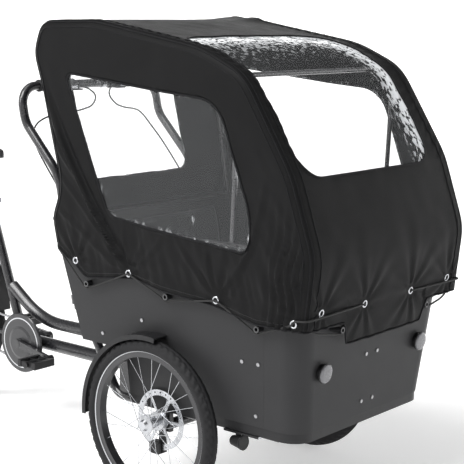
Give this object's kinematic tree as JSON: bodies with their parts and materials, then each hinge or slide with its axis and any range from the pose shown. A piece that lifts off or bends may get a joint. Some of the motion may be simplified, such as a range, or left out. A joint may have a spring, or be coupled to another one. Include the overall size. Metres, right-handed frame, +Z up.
{
  "type": "cargo tricycle",
  "caption": "Front-loading cargo cycle: a panelled box with a windowed rain canopy steers between two wheels ahead of a pedalled rear frame.",
  "frame": {"origin": "on the ground under the middle of the overall box", "axes": "+X forward, +Y to the rider's left, +Z up"},
  "size_m": [2.3497, 0.813, 1.3998],
  "materials": {
    "frame_paint": "satin black powder coat",
    "box_panel": "satin dark panel",
    "trim_plastic": "matte",
    "tyre_rubber": "matte",
    "rim_black": "satin",
    "bright_alloy": "polished",
    "steel": "brushed",
    "grip_rubber": "matte",
    "canopy_cloth": "woven coated cloth",
    "clear_film": "clear film",
    "cushion_cloth": "woven",
    "reflector_plastic": "gloss",
    "saddle_cover": "matte"
  },
  "bodies": {
    "rear_frame": {"seat_tube": "frame_paint", "upper_tube": "frame_paint", "lower_tube": "frame_paint", "head_tube": "frame_paint", "chain_stays": "frame_paint", "seat_stays": "frame_paint", "rear_fender": "trim_plastic", "chain": "steel"},
    "front_carriage": {"stub_axles": "steel", "axle_beam": "frame_paint", "chassis_rails": "frame_paint", "kingpin": "steel", "brake_calipers": "trim_plastic", "box_side_right": "box_panel", "box_side_left": "box_panel", "box_front": "box_panel", "box_rear": "box_panel", "floor_boards": "box_panel", "edge_trims": "trim_plastic", "front_fenders": "trim_plastic", "reflectors": "reflector_plastic", "headlight": "trim_plastic", "cord_pegs": "trim_plastic", "panel_screws": "steel", "bench_board": "box_panel", "bench_cushions": "cushion_cloth", "handlebar": "frame_paint", "bar_brackets": "frame_paint", "grips": "grip_rubber", "lever_mounts": "trim_plastic", "bell": "bright_alloy", "brake_cables": "trim_plastic", "canopy_hoops": "frame_paint", "canopy_roof": "canopy_cloth", "canopy_rear": "canopy_cloth", "canopy_side_right": "canopy_cloth", "canopy_side_left": "canopy_cloth", "canopy_windows": "clear_film", "canopy_lacing": "trim_plastic"},
    "front_wheel_right": {"tyre_front_right": "tyre_rubber", "rim_front_right": "rim_black", "hub_front_right": "bright_alloy"},
    "front_wheel_left": {"tyre_front_left": "tyre_rubber", "rim_front_left": "rim_black", "hub_front_left": "bright_alloy"},
    "rear_wheel": {"tyre_rear": "tyre_rubber", "rim_rear": "rim_black", "hub_rear": "bright_alloy"},
    "rear_sprocket": {"sprocket": "steel"},
    "crankset": {"cranks": "frame_paint", "chainring": "steel"},
    "right_pedal": {"pedal_right": "trim_plastic"},
    "left_pedal": {"pedal_left": "trim_plastic"},
    "saddle_assembly": {"seat_post": "bright_alloy", "saddle": "saddle_cover"},
    "seat_clamp_lever": {"clamp_lever": "bright_alloy"},
    "right_brake_lever": {"brake_lever_right": "bright_alloy"},
    "left_brake_lever": {"brake_lever_left": "bright_alloy"},
    "gear_twist": {"twist_shifter": "trim_plastic"},
    "bell_thumb": {"bell_lever": "bright_alloy"}
  },
  "joints": [
    {"name": "steering", "type": "hinge", "parent": "rear_frame", "child": "front_carriage", "pos_m": [0.385, 0, 0.31], "axis": [0, 0, 1], "range_deg": [-35, 35]},
    {"name": "front_wheel_right_spin", "type": "hinge", "parent": "front_carriage", "child": "front_wheel_right", "pos_m": [0.6, -0.371, 0.25], "axis": [0, 1, 0], "continuous": true},
    {"name": "front_wheel_left_spin", "type": "hinge", "parent": "front_carriage", "child": "front_wheel_left", "pos_m": [0.6, 0.371, 0.25], "axis": [0, 1, 0], "continuous": true},
    {"name": "rear_wheel_spin", "type": "hinge", "parent": "rear_frame", "child": "rear_wheel", "pos_m": [-0.83, 0, 0.33], "axis": [0, 1, 0], "continuous": true},
    {"name": "crank_spin", "type": "hinge", "parent": "rear_frame", "child": "crankset", "pos_m": [-0.335, 0, 0.268], "axis": [0, 1, 0], "continuous": true},
    {"name": "sprocket_spin", "type": "hinge", "parent": "rear_frame", "child": "rear_sprocket", "pos_m": [-0.83, -0.045, 0.33], "axis": [0, 1, 0], "continuous": true},
    {"name": "right_pedal_spin", "type": "hinge", "parent": "crankset", "child": "right_pedal", "pos_m": [-0.16467, -0.136, 0.24406], "axis": [0, 1, 0], "continuous": true},
    {"name": "left_pedal_spin", "type": "hinge", "parent": "crankset", "child": "left_pedal", "pos_m": [-0.50533, 0.136, 0.29194], "axis": [0, 1, 0], "continuous": true},
    {"name": "saddle_height", "type": "slide", "parent": "rear_frame", "child": "saddle_assembly", "axis": [-0.3396, 0, 0.9406], "range_m": [-0.06, 0.09]},
    {"name": "seat_clamp", "type": "hinge", "parent": "rear_frame", "child": "seat_clamp_lever", "pos_m": [-0.53321, 0.027, 0.749], "axis": [0, 0, -1], "range_deg": [0, 120]},
    {"name": "right_brake", "type": "hinge", "parent": "front_carriage", "child": "right_brake_lever", "pos_m": [0.016, -0.104, 1.182], "axis": [0, 0, -1], "range_deg": [0, 12], "stiffness_Nm_per_rad": 1.5},
    {"name": "left_brake", "type": "hinge", "parent": "front_carriage", "child": "left_brake_lever", "pos_m": [0.016, 0.104, 1.182], "axis": [0, 0, 1], "range_deg": [0, 12], "stiffness_Nm_per_rad": 1.5},
    {"name": "gear_change", "type": "hinge", "parent": "front_carriage", "child": "gear_twist", "pos_m": [-0.024, -0.116, 1.188], "axis": [0, 1, 0], "range_deg": [-45, 45]},
    {"name": "bell_strike", "type": "hinge", "parent": "front_carriage", "child": "bell_thumb", "pos_m": [-0.051, 0.046, 1.216], "axis": [0, 0, -1], "range_deg": [0, 25], "stiffness_Nm_per_rad": 0.05}
  ],
  "couplings": [
    {"joint": "sprocket_spin", "follows": "crank_spin", "ratio": 1.9}
  ]
}
